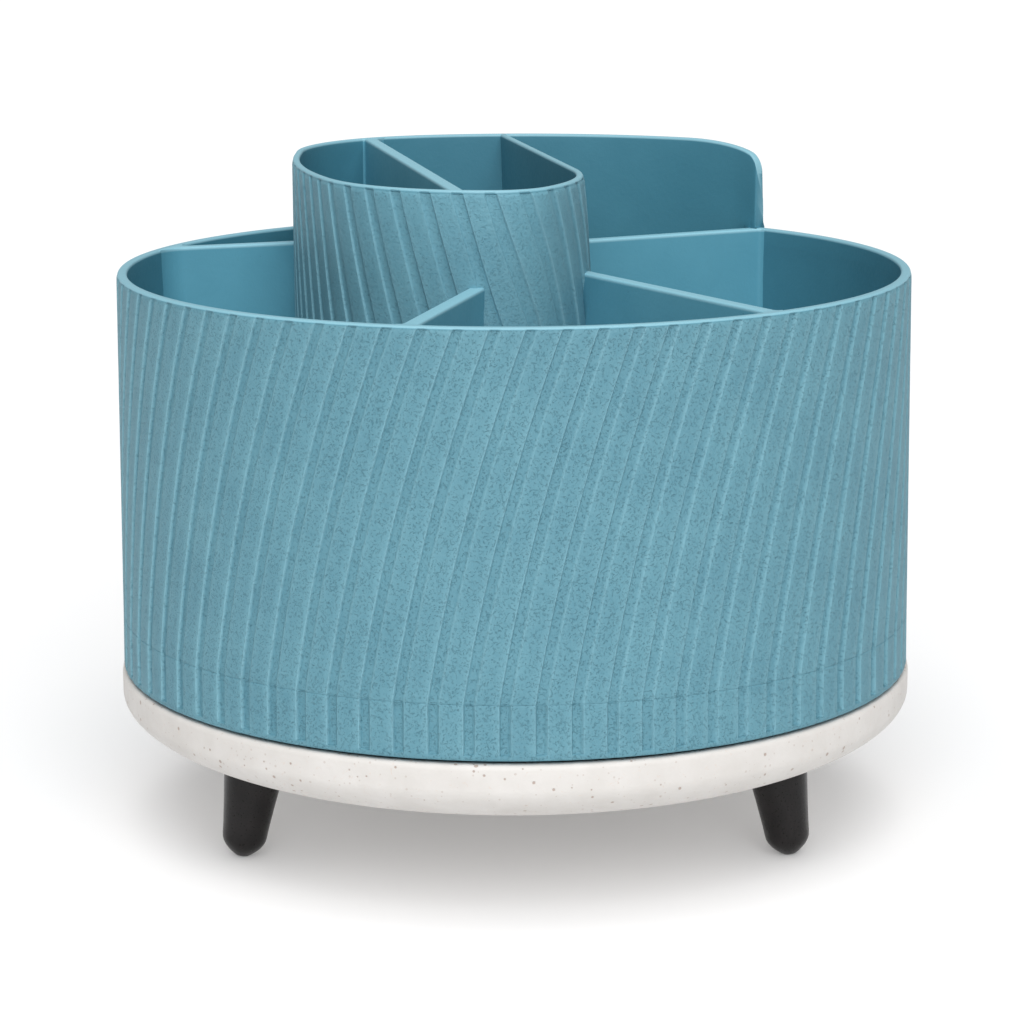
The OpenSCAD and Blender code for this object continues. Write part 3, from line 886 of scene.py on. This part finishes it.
# the partition runs from the back of the cup to its nose, a little way into both
PARTITION_SINK = 0.35
back, front = np.array([-27.7, 55.7]), np.array([-10.3, -26.6])
heading = math.degrees(math.atan2(*(front - back)[::-1]))
slab("cup_partition_slab", back, heading,
     to_cup(back, heading, PARTITION_SINK, np.min), to_cup(back, heading, PARTITION_SINK, np.max),
     PARTITION_T, TOP_Z - SLAB_DROP,
     [(0, 0, PARTITION_SINK, 2.4), (0, 1, PARTITION_SINK, 0.8)], "cup_partition")


# ---------------------------------------------------------------- base and legs
def lathe(profile, segments=192, centre=(0.0, 0.0)):
    """Vertices and faces of a closed profile [radius, height] turned about a vertical axis."""
    profile = np.array(profile, float)
    angle = np.arange(segments) * 2 * math.pi / segments
    x = centre[0] + profile[:, 0][:, None] * np.cos(angle)
    y = centre[1] + profile[:, 0][:, None] * np.sin(angle)
    z = np.repeat(profile[:, 1][:, None], segments, 1)
    verts = np.stack([x, y, z], -1).reshape(-1, 3)
    n, m = segments, len(profile)
    faces = []
    for j in range(m):
        k = (j + 1) % m
        for i in range(n):
            h = (i + 1) % n
            faces.append((j * n + i, j * n + h, k * n + h, k * n + i))
    return verts, faces


def tube(inner, outer, low, high):
    """Profile of an upright tube."""
    return [(inner, low), (outer, low), (outer, high), (inner, high)]


def bowl_curve(inset, count):
    """Quarter of the bowl's underside, at a distance inside its outer face."""
    angle = np.radians(np.linspace(0, 90, count))
    radius = BASE_FLAT + (BASE_R - BASE_FLAT - inset) * np.sin(angle)
    height = BASE_TOP - SIDE - (BASE_TOP - BASE_Z - SIDE - inset) * np.cos(angle)
    return list(zip(radius, height))


def drill(piece, shape):
    """Cuts a shape out of a piece."""
    mesh = bpy.data.meshes.new("holes")
    mesh.from_pydata((shape.verts * MM).tolist(), [], shape.faces)
    holes = bpy.data.objects.new("holes", mesh)
    bpy.context.scene.collection.objects.link(holes)
    cut = piece.modifiers.new("holes", "BOOLEAN")
    cut.operation = "DIFFERENCE"
    cut.solver = "EXACT"
    cut.object = holes
    bpy.context.view_layer.update()
    depsgraph = bpy.context.evaluated_depsgraph_get()
    cut_mesh = bpy.data.meshes.new_from_object(piece.evaluated_get(depsgraph))
    piece.modifiers.clear()
    piece.data = cut_mesh
    piece.data.set_sharp_from_angle(angle=math.radians(38))
    bpy.data.objects.remove(holes)


# upper edge of the bowl: distance inside its side, and distance below its top
BOWL_EDGE = ((0.0, 2.4), (0.0, 1.0), (0.06, 0.62), (0.24, 0.3), (0.5, 0.1), (0.85, 0.0),
             (BASE_T - 0.4, 0.0), (BASE_T - 0.1, 0.12), (BASE_T, 0.4))
bowl_profile = [(TINY, BASE_Z), (BASE_FLAT * 0.5, BASE_Z)] + bowl_curve(0, 40)
bowl_profile += [(BASE_R - inside, BASE_TOP - below) for inside, below in BOWL_EDGE]
bowl_profile += bowl_curve(BASE_T, 24)[::-1] + [(TINY, BASE_Z + BASE_T)]
bowl, screw_holes = Shape(), Shape()
bowl.add(*lathe(bowl_profile))
for a in SCREW_ANGLES:
    spot = SCREW_RING * along(a)
    bowl.add(*lathe(tube(HOLE_R, BOSS_R, BOSS_FOOT, BOSS_TOP), 40, spot))
    screw_holes.add(*lathe(tube(TINY, HOLE_R, BASE_Z - 3, HOLE_TOP), 40, spot))
drill(bowl.build("base_bowl_rounded", [CREAM], "base", "cream_plastic", ["base_bowl"]),
      screw_holes)

# radius and distance up the leg, from its rounded tip to inside the bowl
LEG_PROFILE = [
    (TINY, 0.0), (0.8, 0.02), (1.2, 0.12), (1.8, 0.5), (2.6, 1.15), (3.3, 1.85), (3.8, 2.6),
    (4.08, 3.3), (4.2, 4.1), (4.35, 6.0), (4.8, 10.0), (5.3, 14.0), (5.75, 18.0), (TINY, 18.0),
]
for name, angle in (("left", 210), ("right", 330), ("rear", 90)):
    verts, faces = lathe(LEG_PROFILE, 64)
    tilt = Matrix.Rotation(-LEG_SPLAY, 3, "Y")
    turn = Matrix.Rotation(math.radians(angle), 3, "Z")
    verts = verts @ np.array(tilt).T
    verts[:, 0] += LEG_RING_R
    verts = verts @ np.array(turn).T
    verts[:, 2] -= verts[:, 2].min()
    leg = Shape()
    leg.add(verts, faces)
    leg.build(f"leg_{name}_rounded", [BLACK], "base", "black_plastic", [f"leg_{name}"], sharp=50)

# the CAD nodes that nothing stands for are shown as they are, in the finish of their slot
FINISHES = {"teal_plastic": TEAL_SMOOTH, "cream_plastic": CREAM, "black_plastic": BLACK,
            "steel": STEEL, "nylon": NYLON}
slots = {part["node"]: part["material_slot"] for part in frame["record"]["subparts"]}
for name, node in frame["nodes"].items():
    node.data.materials.clear()
    node.data.materials.append(FINISHES[slots[name]])


# ---------------------------------------------------------------- camera, floor and light
# the camera that was solved from the photo: lens for a 36 mm sensor, place in millimetres,
# and degrees that it looks down, left and is tipped
LENS = 113.58
CAMERA_PLACE = (0, -609.3, 193.4)
CAMERA_PITCH, CAMERA_YAW, CAMERA_ROLL = 12.396, 0.05, -0.209


def camera():
    """The camera of the photo."""
    data = bpy.data.cameras.new("camera")
    data.sensor_width = 36
    data.lens = LENS
    data.clip_start, data.clip_end = 0.01, 50
    view = bpy.data.objects.new("camera", data)
    bpy.context.scene.collection.objects.link(view)
    pitch, roll = math.radians(CAMERA_PITCH), math.radians(CAMERA_ROLL)
    look = Vector((0, math.cos(pitch), -math.sin(pitch)))
    right = Vector((1, 0, 0))
    up = right.cross(look)
    spin = Matrix.Rotation(math.radians(CAMERA_YAW), 3, "Z")
    look, right, up = spin @ look, spin @ right, spin @ up
    right, up = (math.cos(roll) * right + math.sin(roll) * up,
                 -math.sin(roll) * right + math.cos(roll) * up)
    pose = Matrix((right, up, -look)).transposed().to_4x4()
    pose.translation = Vector(CAMERA_PLACE) * MM
    view.matrix_world = pose
    bpy.context.scene.camera = view


def floor():
    """A wide white floor, lit a little from within so that it reads as a studio sweep."""
    mesh = bpy.data.meshes.new("floor")
    far, near = 9.0, 3.0
    mesh.from_pydata([(-far, -near, 0), (far, -near, 0), (far, far, 0), (-far, far, 0)], [],
                     [(0, 1, 2, 3)])
    ground = bpy.data.objects.new("floor", mesh)
    bpy.context.scene.collection.objects.link(ground)
    mat = bpy.data.materials.new("floor_white")
    mat.use_nodes = True
    shader = mat.node_tree.nodes["Principled BSDF"]
    shader.inputs["Base Color"].default_value = (0.77, 0.77, 0.773, 1)
    shader.inputs["Emission Color"].default_value = (1.0, 1.0, 1.0, 1)
    shader.inputs["Emission Strength"].default_value = 0.17
    shader.inputs["Roughness"].default_value = 0.95
    shader.inputs["Specular IOR Level"].default_value = 0.1
    mesh.materials.append(mat)


def sky(strength):
    """An even white surrounding."""
    world = bpy.data.worlds.new("studio")
    world.use_nodes = True
    background = world.node_tree.nodes["Background"]
    background.inputs["Color"].default_value = (1.0, 1.0, 1.0, 1)
    background.inputs["Strength"].default_value = strength
    bpy.context.scene.world = world


def sun(name, azimuth, elevation, width, level):
    """A sun of a width in degrees, azimuth degrees right of the front.

    level is the light that it throws on a white card facing it.
    """
    data = bpy.data.lights.new(name, "SUN")
    data.angle = math.radians(width)
    data.energy = level * math.pi
    lamp = bpy.data.objects.new(name, data)
    bpy.context.scene.collection.objects.link(lamp)
    a, e = math.radians(azimuth), math.radians(elevation)
    way = Vector((math.sin(a) * math.cos(e), -math.cos(a) * math.cos(e), math.sin(e)))
    lamp.rotation_euler = way.to_track_quat("Z", "Y").to_euler()


camera()
floor()
sky(0.36)
sun("key", azimuth=4, elevation=36, width=50, level=0.68)
sun("top", azimuth=0, elevation=76, width=50, level=0.42)
bpy.context.scene.view_settings.view_transform = "Standard"
bpy.context.scene.view_settings.look = "None"

bpy.context.view_layer.update()
